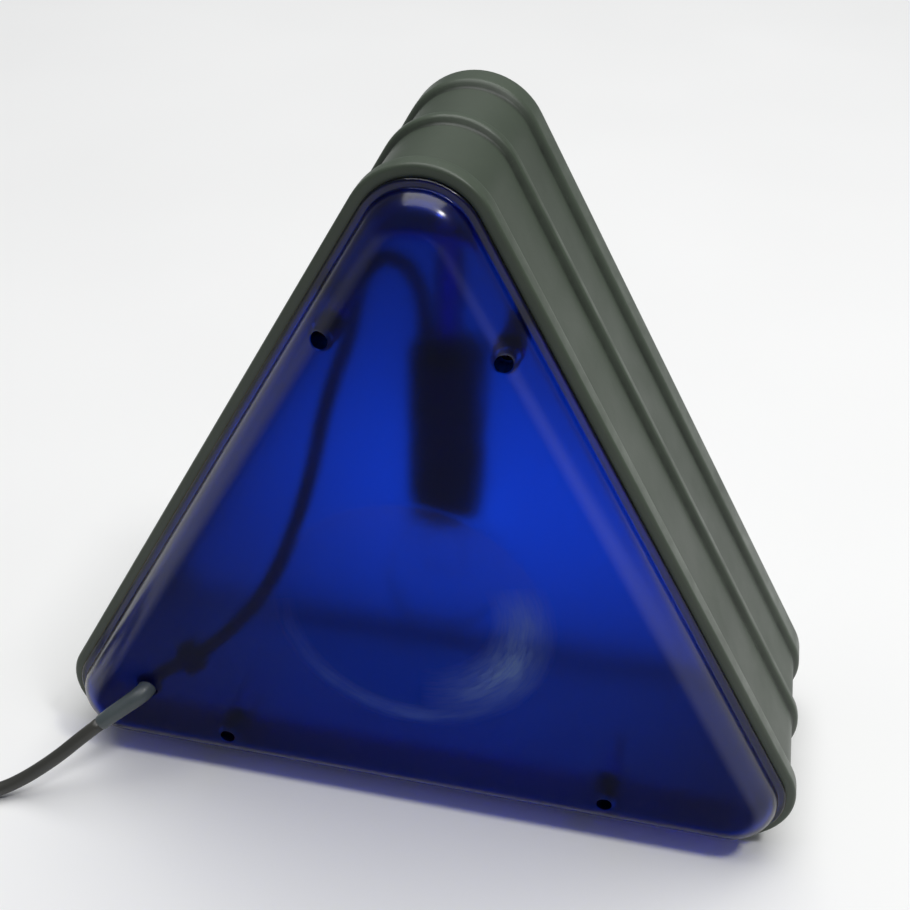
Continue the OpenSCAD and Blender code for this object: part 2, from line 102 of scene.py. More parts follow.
def refined(points, n):
    """The smooth curve through some points, with n steps between each two."""
    last = len(points) - 1
    made = []
    for i in range(last):
        for k in range(n):
            made.append(smooth_point(points[max(0, i - 1)], points[i], points[i + 1],
                                     points[min(last, i + 2)], k / n))
    made.append(points[last])
    return made


def mesh_piece(name, verts, faces, body="lamp", smooth=True):
    mesh = bpy.data.meshes.new(name)
    mesh.from_pydata([tuple(v) for v in verts], [], faces)
    mesh.validate()
    mesh.update()
    if smooth:
        mesh.shade_smooth()
    piece = bpy.data.objects.new(name, mesh)
    bpy.context.scene.collection.objects.link(piece)
    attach(piece, body)
    return piece


def quads(rows, n, closed=False):
    """Faces between rows of n points each, and from the last row back to the first if closed."""
    made = []
    for j in range(rows if closed else rows - 1):
        a, b = j * n, (j + 1) % rows * n
        made += [[a + k, a + (k + 1) % n, b + (k + 1) % n, b + k] for k in range(n)]
    return made


def end_faces(rows, n):
    """The two flat faces that close the first and the last of some rows of n points."""
    return [list(range(n))[::-1], [(rows - 1) * n + k for k in range(n)]]


def tube_mesh(path, radii, sides):
    """Rings of a round tube that keeps its turn along a path, with closed flat ends."""
    last = len(path) - 1
    heads = [(path[min(last, i + 1)] - path[max(0, i - 1)]).normalized() for i in range(last + 1)]
    side = heads[0].cross(Vector((0, 0, 1)))
    if side.length < 0.1:
        side = heads[0].cross(Vector((1, 0, 0)))
    side.normalize()
    verts = []
    for i, head in enumerate(heads):
        side = (side - head * side.dot(head)).normalized()
        other = head.cross(side)
        for k in range(sides):
            a = 2 * math.pi * k / sides
            verts.append(path[i] + radii[i] * (math.cos(a) * side + math.sin(a) * other))
    return verts, quads(last + 1, sides) + end_faces(last + 1, sides)


# ---------------------------------------------------------------- cords
CORD_D = 5.2 * MM
CORD_SIDES = 20
near_route = scaled([(-117, -61.5, 29.5), (-124, -66, 24), (-131, -70, 18), (-138, -73, 12.4),
                     (-145, -76, 7.6), (-152, -79.5, 4.4), (-160, -83.5, 3.1), (-168, -88, 3),
                     (-176, -92.5, 3.4), (-184, -96, 5), (-190, -97.6, 6.2), (-196, -98, 6.5)])
far_route = scaled([(-270, -98, 6.5), (-276, -98, 5.4), (-281, -98, 4.5), (-286, -98, 3.9)])
end_route = scaled([(-290, -19.7, 8.6), (-285, -19.7, 7.8), (-280, -19.7, 7.2), (-275, -19.7, 6.9),
                    (-272, -19.7, 6.8)])

COIL_C = Vector((-297, -58.85, 0))
COIL_RADII = [39.15, 33.85, 28.55, 23.25]
COIL_Z = (3.65, 8.95)
COIL_TURNS = 7.5
COIL_STEPS = 56     # points in each turn
JOG = 1 / 4         # the share of a turn in which the cord steps to the next one


def coil_at(t):
    """The cord's middle after t turns: four turns inwards, a step up, and the rest outwards."""
    def radius(turn):
        return COIL_RADII[turn] if turn < 4 else COIL_RADII[7 - turn]

    turn = int(t)
    part = max(0.0, (t - turn - (1 - JOG)) / JOG)
    part = part * part * (3 - 2 * part)
    after = min(turn + 1, 7)
    r = radius(turn) * (1 - part) + radius(after) * part
    up = 0 if turn < 3 else 1 if turn > 3 else part
    z = COIL_Z[0] * (1 - up) + COIL_Z[1] * up
    a = -math.pi / 2 - 2 * math.pi * t
    return (COIL_C + Vector((r * math.cos(a), r * math.sin(a), z))) * MM


def cord_piece(name, path):
    return mesh_piece(name, *tube_mesh(path, [CORD_D / 2] * len(path), CORD_SIDES))


coil_path = [coil_at(k / COIL_STEPS) for k in range(int(COIL_TURNS * COIL_STEPS) + 1)]
near_path = refined(near_route, 3)
far_path = (refined(far_route + [coil_path[0]], 3)[:-1] + coil_path[:-1]
            + refined([coil_path[-1]] + end_route, 3))

near_cord = cord_piece("cord_to_switch", near_path)
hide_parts("lead_near")
far_cord = cord_piece("cord_to_plug", far_path)
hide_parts("lead_far", "cord_coil", "coil_end")

# ---------------------------------------------------------------- the triangle, in millimetres
ring_low, ring_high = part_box("housing")
FRONT_Y = ring_low.y / MM
REAR_Y = ring_high.y / MM
FACE_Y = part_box("blue_cover")[0].y / MM
FOOT_GAP = 0.5
CORNER_R = 24
CORNER_N = 18       # steps round each corner of the cover
RING_N = 24         # steps round each corner of the ring and the bezel
COS30 = math.cos(math.radians(30))
HALF_A = (ring_high.x - ring_low.x) / MM / 2 - CORNER_R
CORNER_Z = FOOT_GAP + CORNER_R
APEX_Z = CORNER_Z + HALF_A * math.sqrt(3)
CORNERS = [(-HALF_A, CORNER_Z), (HALF_A, CORNER_Z), (0, APEX_Z)]
CENTRE_Z = CORNER_Z + HALF_A / math.sqrt(3)


def outline(inset, n=CORNER_N):
    """Points of the rounded triangle set in by some millimetres, in order round it."""
    r = CORNER_R - inset
    made = []
    for (cx, cz), first in zip(CORNERS, (150, 270, 30)):
        for k in range(n + 1):
            a = math.radians(first + 120 * k / n)
            made.append((cx + r * math.cos(a), cz + r * math.sin(a)))
    return made


def inset_at(x, z):
    """How far a point lies inside the outer outline."""
    outside, nearest = -1e9, 1e9
    for (ax, az), (bx, bz) in zip(CORNERS, CORNERS[1:] + CORNERS[:1]):
        ex, ez = bx - ax, bz - az
        size = math.hypot(ex, ez)
        outside = max(outside, ((x - ax) * ez - (z - az) * ex) / size)
        t = min(1, max(0, ((x - ax) * ex + (z - az) * ez) / size ** 2))
        nearest = min(nearest, math.hypot(x - ax - t * ex, z - az - t * ez))
    return CORNER_R - (outside if outside <= 0 else nearest)


def rounded(corners, steps=6):
    """A closed outline with its corners (u, v, radius) rounded off."""
    made = []
    count = len(corners)
    for i, (u, v, radius) in enumerate(corners):
        here = Vector((u, v))
        before = Vector(corners[i - 1][:2]) - here
        after = Vector(corners[(i + 1) % count][:2]) - here
        if radius <= 0:
            made.append((u, v))
            continue
        half = before.angle(after) / 2
        reach = min(radius / math.tan(half), before.length * 0.49, after.length * 0.49)
        r = reach * math.tan(half)
        before.normalize()
        after.normalize()
        middle = here + (before + after).normalized() * (r / math.sin(half))
        a, b = here + before * reach, here + after * reach
        va, vb = a - middle, b - middle
        turn = va.angle_signed(vb)
        for k in range(steps + 1):
            t = -turn * k / steps
            c, s = math.cos(t), math.sin(t)
            p = middle + Vector((va.x * c - va.y * s, va.x * s + va.y * c))
            made.append((p.x, p.y))
    return made


def rounded_box(half_u, half_v, radius, steps):
    """A closed rectangle round the origin with its corners rounded off."""
    signs = ((-1, -1), (1, -1), (1, 1), (-1, 1))
    return rounded([(su * half_u, sv * half_v, radius) for su, sv in signs], steps)


def swept_rings(profile):
    """Points and quads of a closed profile (inset, y) carried round the triangle."""
    verts = [Vector((x, y, z)) * MM for inset, y in profile for x, z in outline(inset, RING_N)]
    return verts, quads(len(profile), len(verts) // len(profile), closed=True)


def tidy_mesh(piece, sharp=None, merge=None):
    """Merges points that meet, turns every face outwards, and marks edges sharper than an angle."""
    bm = bmesh.new()
    bm.from_mesh(piece.data)
    if merge:
        bmesh.ops.remove_doubles(bm, verts=bm.verts, dist=merge)
    bmesh.ops.recalc_face_normals(bm, faces=bm.faces)
    bm.to_mesh(piece.data)
    bm.free()
    piece.data.update()
    if sharp:
        piece.data.set_sharp_from_angle(angle=math.radians(sharp))


def lathe(profile, place, sides):
    """Points and faces of a closed profile (radius, along) turned round the Z axis of a place."""
    verts = []
    for r, along in profile:
        for k in range(sides):
            a = 2 * math.pi * k / sides
            verts.append(place @ (Vector((r * math.cos(a), r * math.sin(a), along)) * MM))
    return verts, quads(len(profile), sides, closed=True)


def joined(parts):
    """One set of points and faces from several."""
    verts, faces = [], []
    for v, f in parts:
        faces += [[i + len(verts) for i in face] for face in f]
        verts += v
    return verts, faces


def place_at(point, along):
    """A place at a point in millimetres, whose Z axis runs along a direction."""
    turn = Vector(along).to_track_quat("Z", "Y").to_matrix().to_4x4()
    return Matrix.Translation(Vector(point) * MM) @ turn


# ---------------------------------------------------------------- housing
BAND = 2.2          # how far the two bands lie below the beads
WALL = 4.8
CREASES = [FRONT_Y + 37.6, FRONT_Y + 44.4, REAR_Y - 13.4]
ring_profile = rounded([
    (0, FRONT_Y, 1.3), (0, FRONT_Y + 6.8, 2.4), (BAND, FRONT_Y + 8.4, 1.8),
    (BAND, CREASES[0], 1.6), (0, FRONT_Y + 39.4, 1.9), (0, FRONT_Y + 42.6, 1.9),
    (BAND, CREASES[1], 1.6), (BAND, CREASES[2], 1.8), (0, REAR_Y - 11.4, 2.8), (0, REAR_Y, 2.6),
    (WALL, REAR_Y, 0.5), (WALL, REAR_Y - 6, 0), (8.8, REAR_Y - 6, 0.4), (8.8, REAR_Y - 8, 0.4),
    (WALL, REAR_Y - 8, 0), (WALL, FRONT_Y, 0.4)])


def between(p, q, t):
    return p[0] + (q[0] - p[0]) * t, p[1] + (q[1] - p[1]) * t


def with_near_points(profile, reach=1.2, least=5):
    """The same closed profile with two more points on each long stretch, close to its ends."""
    made = []
    for p, q in zip(profile, profile[1:] + profile[:1]):
        made.append(p)
        size = math.dist(p, q)
        if size > least:
            made += [between(p, q, t) for t in (reach / size, 1 - reach / size)]
    return made


ring_profile = with_near_points(ring_profile)
housing = mesh_piece("housing_ring", *swept_rings(ring_profile))
tidy_mesh(housing, 40)
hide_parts("housing")

SCREWS = [(-27.8, 197), (27.8, 197), (-72.5, 19.5), (72.5, 19.5)]
boss_parts = []
boss = rounded([(3.75, 0, 0.4), (3.75, 24, 0.4), (1.25, 24, 0.2), (1.25, 0, 0.3)], 3)
for x, z in SCREWS:
    boss_parts.append(lathe(boss, place_at((x, FRONT_Y + 1, z), (0, 1, 0)), 32))
bosses = mesh_piece("housing_bosses", *joined(boss_parts))
tidy_mesh(bosses, 40)


def rib_block(x, z):
    """The flat rib that ties a screw boss to the ring's wall."""
    bm = bmesh.new()
    bmesh.ops.create_cube(bm, size=1)
    along = Vector((0, 1, 0))
    toward = Vector((math.copysign(COS30, x), 0, 0.5)) if z > CENTRE_Z else Vector((0, 0, -1))
    side = toward.cross(along)
    start, reach = 2.6, inset_at(x, z) - WALL + 0.6
    thick, deep, size = 2.0, 10.0, reach - start
    middle = Vector((x, FRONT_Y + 20, z)) + toward * (start + reach) / 2
    for v in bm.verts:
        v.co = (middle + side * v.co.x * thick + along * v.co.y * deep
                + toward * v.co.z * size) * MM
    bmesh.ops.bevel(bm, geom=bm.edges[:], offset=0.25 * MM, segments=2, affect="EDGES")
    bmesh.ops.recalc_face_normals(bm, faces=bm.faces)
    mesh = bpy.data.meshes.new("rib")
    bm.to_mesh(mesh)
    bm.free()
    return [v.co.copy() for v in mesh.vertices], [list(p.vertices) for p in mesh.polygons]


ribs = mesh_piece("housing_ribs", *joined([rib_block(x, z) for x, z in SCREWS]), smooth=False)

PAD_Z = 221
pad_parts = []
wall_x = HALF_A + (CORNER_R - WALL - (PAD_Z - CORNER_Z) * 0.5) / COS30
pad = rounded([(5, -0.6, 0), (5, 4, 0.5), (1.25, 4, 0.2), (1.25, -0.6, 0)], 3)
for side in (-1, 1):
    inward = (-side * COS30, 0, -0.5)
    pad_parts.append(lathe(pad, place_at((side * wall_x, 6, PAD_Z), inward), 32))
pads = mesh_piece("housing_pads", *joined(pad_parts))
tidy_mesh(pads, 40)

# ---------------------------------------------------------------- bezel round the opal panel
bezel_profile = rounded([(5.1, REAR_Y - 3, 0.2), (5.1, REAR_Y - 0.1, 0.7),
                         (11.6, REAR_Y - 0.1, 1.6), (14.1, REAR_Y - 2.2, 0.5),
                         (14.1, REAR_Y - 3, 0.2)])
bezel = mesh_piece("bezel_ring", *swept_rings(bezel_profile))
tidy_mesh(bezel, 40)
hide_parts("panel_bezel")

# ---------------------------------------------------------------- blue cover
SHOULDER_R = 10.2
SKIN = 2.2          # thickness of the plastic
SHOULDER_Y = FACE_Y + SHOULDER_R
FACE_IN = 16.4      # inset at which the face turns flat
DISH_R, DISH_D, DISH_Z = 47.5, 8, 94
DISH_BALL = (DISH_R ** 2 + DISH_D ** 2) / (2 * DISH_D)
HOLE = (-103, 38)   # middle of the cord hole
HOLE_R = 3.7
FRONT_EDGE = 10.1   # insets at which the two sheets meet the swept sides
BACK_EDGE = 9.2


def soft_step(x, k):
    """x where it is above 0 and 0 below, with a bend of a size k between."""
    return k * math.log1p(math.exp(x / k)) if x / k < 30 else x


def shoulder_y(radius, inset):
    """Y of the shoulder's quarter round at an inset short of the flat face."""
    return SHOULDER_Y - math.sqrt(max(0, radius ** 2 - (FACE_IN - inset) ** 2))


def front_y(x, z):
    """Y of the cover's outer face."""
    inset = inset_at(x, z)
    if inset < FACE_IN:
        return shoulder_y(SHOULDER_R, inset)
    r2 = x * x + (z - DISH_Z) ** 2
    return FACE_Y + soft_step(DISH_D * (1 - r2 / DISH_R ** 2), 0.16)


def back_y(x, z):
    """Y of the cover's inner face."""
    inset = inset_at(x, z)
    if inset < FACE_IN:
        return shoulder_y(SHOULDER_R - SKIN, inset)
    r2 = x * x + (z - DISH_Z) ** 2
    ball = DISH_BALL + SKIN
    deep = math.sqrt(max(0, ball * ball - r2)) - (DISH_BALL - DISH_D) - SKIN
    return FACE_Y + SKIN + soft_step(deep, 0.3)


def close_outline(inset, step=6):
    """The outline at an inset with points along its straight sides too."""
    ends = outline(inset)
    made = []
    for p, q in zip(ends, ends[1:] + ends[:1]):
        count = max(1, round(math.dist(p, q) / step))
        made += [between(p, q, k / count) for k in range(count)]
    return made


def circle_points(cx, cz, r, n):
    turns = [2 * math.pi * k / n for k in range(n)]
    return [(cx + r * math.cos(a), cz + r * math.sin(a)) for a in turns]


def flat_sheet(edge, edges_in, rings, holes, height):
    """A triangulated sheet inside an outline, at Y of height(x, z), with round holes.

    A hole is (x, z, radius, wider circles of points round it, points in each circle).
    """
    points, wires = [], []

    def loop(ps, keep=True):
        first = len(points)
        points.extend(Vector(p) for p in ps)
        if keep:
            wires.extend((first + k, first + (k + 1) % len(ps)) for k in range(len(ps)))

    loop(outline(edge))
    clear = [(x, z, max(r, *more)) for x, z, r, more, n in holes]

    def free(p):
        return all(math.hypot(p[0] - x, p[1] - z) > r + 0.5 for x, z, r in clear)

    for inset in edges_in:
        loop([p for p in close_outline(inset) if free(p)], False)
    for r, n in rings:
        loop([p for p in circle_points(0, DISH_Z, r, n) if free(p)], False)
    points.append(Vector((0, DISH_Z)))
    for x, z, r, more, n in holes:
        loop(circle_points(x, z, r, n))
        for wider in more:
            loop([p for p in circle_points(x, z, wider, n) if inset_at(*p) > edge + 0.1], False)
    out = delaunay_2d_cdt(points, wires, [], 0, 1e-5)
    verts, faces = out[0], []
    for f in out[2]:
        cx = sum(verts[i].x for i in f) / len(f)
        cz = sum(verts[i].y for i in f) / len(f)
        in_hole = any(math.hypot(cx - x, cz - z) < r * math.cos(math.pi / n)
                      for x, z, r, more, n in holes)
        if not in_hole and inset_at(cx, cz) >= edge:
            faces.append(list(f))
    return [Vector((v.x, height(v.x, v.y), v.y)) * MM for v in verts], faces


def strip(rows):
    """Points and quads of open rows of points."""
    return [p for row in rows for p in row], quads(len(rows), len(rows[0]))


def arc_profile(radius, first, last, count):
    """Points (inset, y) of the shoulder between two angles in degrees, both ends included."""
    turns = [math.radians(first + (last - first) * k / count) for k in range(count + 1)]
    return [(FACE_IN - radius * math.cos(a), SHOULDER_Y - radius * math.sin(a)) for a in turns]


def arc_end(radius, inset):
    """The angle on the shoulder, in degrees, at which it reaches an inset."""
    return math.degrees(math.acos((FACE_IN - inset) / radius))


SCREW_N, HOLE_N, DISH_N = 32, 40, 96    # points in circles round the wells, cord hole and dish
WELL_R, WELL_LIP, POST_R = 2.75, 3.05, 4.2
WELL_FLOOR = FRONT_Y - 2.5
SCREW_R = 1.6
POST_END = FRONT_Y + 0.7
POST_STEP = FRONT_Y - 4     # where the post widens at its end
POST_WIDE = 4.7
SKIRT_END = FRONT_Y + 14
INNER_R = SHOULDER_R - SKIN
dish_rings = [(r, DISH_N) for r in (8, 16, 24, 31, 37, 41, 44, 45.5, 46.3, 46.9, 47.3, 47.7,
                                    48.1, 48.6, 49.4, 51, 54)]
front_holes = ([(x, z, WELL_LIP, (3.5,), SCREW_N) for x, z in SCREWS]
               + [(*HOLE, HOLE_R + 0.3, (4.6,), HOLE_N)])
back_holes = [(x, z, POST_R, (4.5,), SCREW_N) for x, z in SCREWS] + [(*HOLE, HOLE_R, (4.6,), HOLE_N)]
front_insets = (10.8, 11.5, 12.2, 13, 13.8, 14.6, 15.3, 15.9, 16.4, 17, 18.5)
back_insets = (9.6, 10.1, 10.8, 11.6, 12.6, 13.6, 14.6, 15.5, 16.4, 17, 18.5)

shoulder = arc_profile(SHOULDER_R, 6, arc_end(SHOULDER_R, FRONT_EDGE), 22)
shoulder[-1] = (FRONT_EDGE, shoulder_y(SHOULDER_R, FRONT_EDGE))
inner = arc_profile(INNER_R, arc_end(INNER_R, BACK_EDGE), 4, 16)
inner[0] = (BACK_EDGE, shoulder_y(INNER_R, BACK_EDGE))
skirt = [(8.2, FRONT_Y - 1.2), (7.7, FRONT_Y - 0.2), (7.2, FRONT_Y + 0.8), (7.1, FRONT_Y + 2),
         (7.1, SKIRT_END - 2), (7.1, SKIRT_END - 0.4), (6.7, SKIRT_END)]
flange = rounded([(5.1, SKIRT_END, 0.5), (5.1, FRONT_Y, 0), (3.6, FRONT_Y, 0.15),
                  (3.6, FRONT_Y - 1.8, 0.75), (6.25, FRONT_Y - 1.8, 0.5),
                  (6.3, FRONT_Y - 3.2, 0)], 5)[:-1]
side_rows = [[Vector((x, y, z)) * MM for x, z in outline(inset)]
             for inset, y in inner + skirt + flange + shoulder[1:]]


def well(x, z):
    """A screw well in the cover, and the post round it inside."""
    def at(r, y):
        return [Vector((px, y, pz)) * MM for px, pz in circle_points(x, z, r, SCREW_N)]

    def on(r, surface, drop=0.0, share=1.0):
        return [Vector((px, POST_STEP * (1 - share) + share * (surface(px, pz) + drop), pz)) * MM
                for px, pz in circle_points(x, z, r, SCREW_N)]

    return strip([on(WELL_LIP, front_y), on(2.86, front_y, 0.1), on(WELL_R, front_y, 0.35),
                  at(WELL_R, WELL_FLOOR - 0.3), at(WELL_R - 0.25, WELL_FLOOR),
                  at(SCREW_R, WELL_FLOOR), at(SCREW_R, POST_END), at(POST_WIDE - 0.1, POST_END),
                  at(POST_WIDE, POST_END - 0.15), at(POST_WIDE, POST_STEP), at(POST_R, POST_STEP),
                  on(POST_R, back_y, 0.0, 0.5), on(POST_R, back_y)])


hole_edge = ((HOLE_R + 0.3, FACE_Y), (HOLE_R + 0.1, FACE_Y + 0.08), (HOLE_R, FACE_Y + 0.3),
             (HOLE_R, FACE_Y + SKIN))
cover = mesh_piece("cover_shell", *joined([
    flat_sheet(FRONT_EDGE, front_insets, dish_rings, front_holes, front_y),
    flat_sheet(BACK_EDGE, back_insets, dish_rings, back_holes, back_y),
    strip(side_rows)] + [well(x, z) for x, z in SCREWS] + [
    strip([[Vector((px, y, pz)) * MM for px, pz in circle_points(*HOLE, r, HOLE_N)]
           for r, y in hole_edge])]))
tidy_mesh(cover, 38, 0.004 * MM)
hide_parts("blue_cover")

# ---------------------------------------------------------------- cords and the pieces on them
inner_route = scaled([(-8.5, 6, 164), (-8.5, 6, 172), (-8.5, 5.5, 182), (-10, 4, 192),
                      (-14, 2, 200), (-20, -1, 203), (-25.5, -4, 199), (-28, -7, 190),
                      (-30, -10, 178), (-34, -14, 165), (-38, -17, 150), (-41, -20, 134),
                      (-45, -22, 118), (-50, -24, 102), (-56, -26, 87), (-64, -28, 72),
                      (-74, -30, 59), (-85, -32, 48), (-94, -35, 42), (-100, -38.5, 39),
                      (-103, -44.1, 38)])
inner_cord = cord_piece("cord_inside", refined(inner_route, 4))
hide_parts("inner_cord")

grommet_route = scaled([(-103, -47, 38), (-103.6, -50, 37.8), (-105.5, -53, 37), (-109, -56, 35),
                        (-113, -59, 32.5), (-117, -61.5, 29.5)])
sleeve_path = scaled([(-103, -44.2, 38), (-103, -45.6, 38)]) + refined(grommet_route, 8)
sleeve_last = len(sleeve_path) - 1
SLEEVE_WIDE, SLEEVE_SLIM = 3.6, 2.95
sleeve_radii = [SLEEVE_WIDE + (SLEEVE_SLIM - SLEEVE_WIDE) * i / sleeve_last
                for i in range(sleeve_last + 1)]
sleeve_radii[-2:] = [2.86, 2.66]
collar = rounded([(3.0, 0, 0), (5.0, 0, 0.5), (5.0, 1.6, 0.4), (3.0, 1.6, 0.2)], 4)
collar_place = place_at((HOLE[0], FACE_Y + SKIN + 0.1, HOLE[1]), (0, 1, 0))
sleeve = mesh_piece("cord_sleeve", *joined([
    tube_mesh(sleeve_path, [r * MM for r in sleeve_radii], 28), lathe(collar, collar_place, 40)]))
tidy_mesh(sleeve, 50)
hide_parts("cord_grommet")


def strap_band(centre, width, height, thickness, breadth):
    """A flat strap closed round a bundle, in the XZ plane, with its edges rounded."""
    path = rounded_box(width / 2, height / 2, 2.2, 8)
    cut = rounded_box(thickness / 2, breadth / 2, 0.3, 3)
    verts = []
    for i, p in enumerate(path):
        before, after = path[i - 1], path[(i + 1) % len(path)]
        out = Vector((after[1] - before[1], before[0] - after[0])).normalized()
        for u, v in cut:
            verts.append((centre + Vector((p[0] + out.x * u, v, p[1] + out.y * u))) * MM)
    return verts, quads(len(path), len(cut), closed=True)


tie_low, tie_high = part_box("coil_tie")
tie_centre = (tie_low + tie_high) / 2 / MM
tie_size = (tie_high - tie_low) / MM
TIE_T, TIE_GAP = 0.8, 0.1   # the strap's thickness, and how far it stays inside the CAD node
tie_width, tie_height = (size - TIE_T - TIE_GAP for size in (tie_size.x, tie_size.z))
tie = mesh_piece("coil_strap", *strap_band(tie_centre, tie_width, tie_height, TIE_T,
                                           tie_size.y - 2 * TIE_GAP))
tidy_mesh(tie, 50)
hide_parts("coil_tie")

plug_low, plug_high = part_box("plug_body")
PLUG_X = plug_low.x / MM
PLUG_Y = (plug_low.y + plug_high.y) / 2 / MM
PLUG_Z = (plug_low.z + plug_high.z) / 2 / MM
PIN_Y = 9.3         # half the distance between the pins
PLUG_N = 72         # points round the plug's body


def stadium(width, height, n):
    """Points of an upright outline with round ends, spread evenly by angle."""
    made = []
    half, r = (width - height) / 2, height / 2
    for k in range(n):
        a = 2 * math.pi * (k + 0.5) / n
        c, s = math.cos(a), math.sin(a)
        made.append((math.copysign(half, c) * min(1, abs(c) * 3) + r * c, r * s))
    return made


# Distance from the cord's end, width and height: a ribbed strain relief, then the body
plug_sections = [(0, 6.2, 6.2), (2.2, 6.4, 6.4), (2.5, 5.7, 5.7), (3.9, 5.8, 5.8), (4.2, 6.9, 6.9),
                 (6.2, 7.1, 7.1), (6.5, 6.2, 6.2), (7.9, 6.3, 6.3), (8.2, 7.5, 7.5),
                 (10.2, 7.8, 7.8), (10.5, 6.8, 6.8), (11.9, 6.9, 6.9), (12.2, 8.2, 8.2),
                 (14.2, 8.5, 8.5), (14.5, 7.5, 7.5), (15.9, 7.6, 7.6), (16.2, 8.9, 8.9),
                 (20, 9.4, 9.4), (22, 11.4, 10.6), (24.5, 15.5, 11.6), (28, 23.5, 12.8),
                 (31, 29.4, 13.3), (34, 32.6, 13.5), (37.5, 34.4, 13.55), (41, 33.9, 13.55),
                 (44, 32.6, 13.2), (47, 31.2, 13.2), (50, 30, 13.5), (53, 28.6, 13.5),
                 (54.4, 27.6, 13.2), (54.95, 26.4, 12.2)]
plug_verts = [Vector((PLUG_X + x, PLUG_Y + u, PLUG_Z + v)) * MM
              for x, w, h in plug_sections for u, v in stadium(w, h, PLUG_N)]
plug_parts = [(plug_verts, quads(len(plug_sections), PLUG_N) + end_faces(len(plug_sections), PLUG_N))]
sheath = rounded([(0.9, 0, 0), (2.0, 0, 0), (2.0, 10, 0.25), (0.9, 10, 0)], 3)
for side in (-1, 1):
    sheath_place = place_at((PLUG_X + 54, PLUG_Y + side * PIN_Y, PLUG_Z), (1, 0, 0))
    plug_parts.append(lathe(sheath, sheath_place, 32))
plug = mesh_piece("plug_moulding", *joined(plug_parts))
tidy_mesh(plug, 38)
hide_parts("plug_body")

# ---------------------------------------------------------------- switch case
base_low, base_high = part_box("switch_base")
top_low, top_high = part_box("switch_top")
SWITCH_X = (base_low.x + base_high.x) / 2 / MM
SWITCH_Y = (base_low.y + base_high.y) / 2 / MM
SPLIT_LOW, SPLIT_HIGH, CASE_TOP = base_high.z / MM, top_low.z / MM, top_high.z / MM
CASE_HALF, CASE_SIDE = 29, 13   # half its length and half its width
CASE_R, CASE_T, CASE_EDGE = 8, 1.8, 1.1     # corner, wall and edge
CEILING = CASE_TOP - CASE_T
CASE_SCREWS = [(-17, -8.5), (17, 8.5)]
CASE_POST = 2.6
HEAD_R, HEAD_DEEP, SHANK_R, PILOT_R = 2.3, 2, 1.3, 1.0
OPENING = rounded_box(10.6, 5.2, 0.5, 4)
BEARING_Y = 6.9     # how far the blocks that hold the rocker's pin are from the middle


def case_plan(inset, n=12):
    """The outline of the case set in by some millimetres."""
    made = []
    centres = [(1, 1, 0), (-1, 1, 90), (-1, -1, 180), (1, -1, 270)]
    for sx, sy, first in centres:
        for k in range(n + 1):
            a = math.radians(first + 90 * k / n)
            made.append((sx * (CASE_HALF - CASE_R) + (CASE_R - inset) * math.cos(a),
                         sy * (CASE_SIDE - CASE_R) + (CASE_R - inset) * math.sin(a)))
    return made


def level(points, z):
    """Points (x, y) from the case's middle, at a height."""
    return [Vector((SWITCH_X + x, SWITCH_Y + y, z)) * MM for x, y in points]


def flat_cap(edge, hole_r, z, opening=()):
    """A flat face inside an outline, with a hole at each screw and one rectangular opening."""
    points, wires = [], []
    holes = CASE_SCREWS if hole_r else []
    loops = [edge] + [circle_points(*c, hole_r, SCREW_N) for c in holes]
    for ps in loops + ([opening] if opening else []):
        first = len(points)
        points.extend(Vector(q) for q in ps)
        wires.extend((first + k, first + (k + 1) % len(ps)) for k in range(len(ps)))
    out = delaunay_2d_cdt(points, wires, [], 0, 1e-5)
    half_x = max((q[0] for q in opening), default=0)
    half_y = max((q[1] for q in opening), default=0)
    faces = []
    for f in out[2]:
        cx = sum(out[0][i].x for i in f) / len(f)
        cy = sum(out[0][i].y for i in f) / len(f)
        in_hole = any(math.dist((cx, cy), c) < hole_r * 0.995 for c in holes)
        if not in_hole and not (abs(cx) < half_x and abs(cy) < half_y):
            faces.append(list(f))
    return level(out[0], z), faces


def screw_strip(centre, rows):
    """A round wall of rows (radius, height) about a screw."""
    return strip([level(circle_points(*centre, r, SCREW_N), z) for r, z in rows])


def edge_rows(z_from, z_to):
    """Rows of a case half's outer wall, from its parting face to its round outer edge."""
    up = 1 if z_to > z_from else -1
    rows = [level(case_plan(0.35), z_from), level(case_plan(0.1), z_from + up * 0.1),
            level(case_plan(0), z_from + up * 0.35)]
    for k in range(6):
        a = math.radians(90 * k / 5)
        rows.append(level(case_plan(CASE_EDGE * (1 - math.cos(a))),
                          z_to - up * CASE_EDGE * (1 - math.sin(a))))
    return rows


def case_wall(z_inside, z_split, z_outside):
    """A case half's wall, from its inner floor or ceiling round its parting face to outside."""
    return strip([level(inner_edge, z_inside), level(inner_edge, z_split)]
                 + edge_rows(z_split, z_outside))


inner_edge = case_plan(CASE_T)
bottom_parts = [case_wall(CASE_T, SPLIT_LOW, 0), flat_cap(case_plan(CASE_EDGE), HEAD_R, 0),
                flat_cap(inner_edge, CASE_POST, CASE_T)]
for c in CASE_SCREWS:
    bottom_parts.append(screw_strip(c, [(HEAD_R, 0), (HEAD_R, HEAD_DEEP), (SHANK_R, HEAD_DEEP),
                                        (SHANK_R, SPLIT_LOW), (CASE_POST, SPLIT_LOW),
                                        (CASE_POST, CASE_T)]))
neck = rounded([(2.7, 0, 0), (5.5, 0, 0), (5.2, 1.6, 0.2), (4.5, 1.8, 0.1), (4.4, 2.8, 0.1),
                (4.9, 3.0, 0.2), (4.6, 4.4, 0.2), (4.0, 4.6, 0.1), (3.9, 5.6, 0.1),
                (4.3, 5.8, 0.2), (3.5, 9, 0.5), (2.7, 9, 0.2)], 3)
NECK_X, NECK_Z = CASE_HALF - 1, 6.5
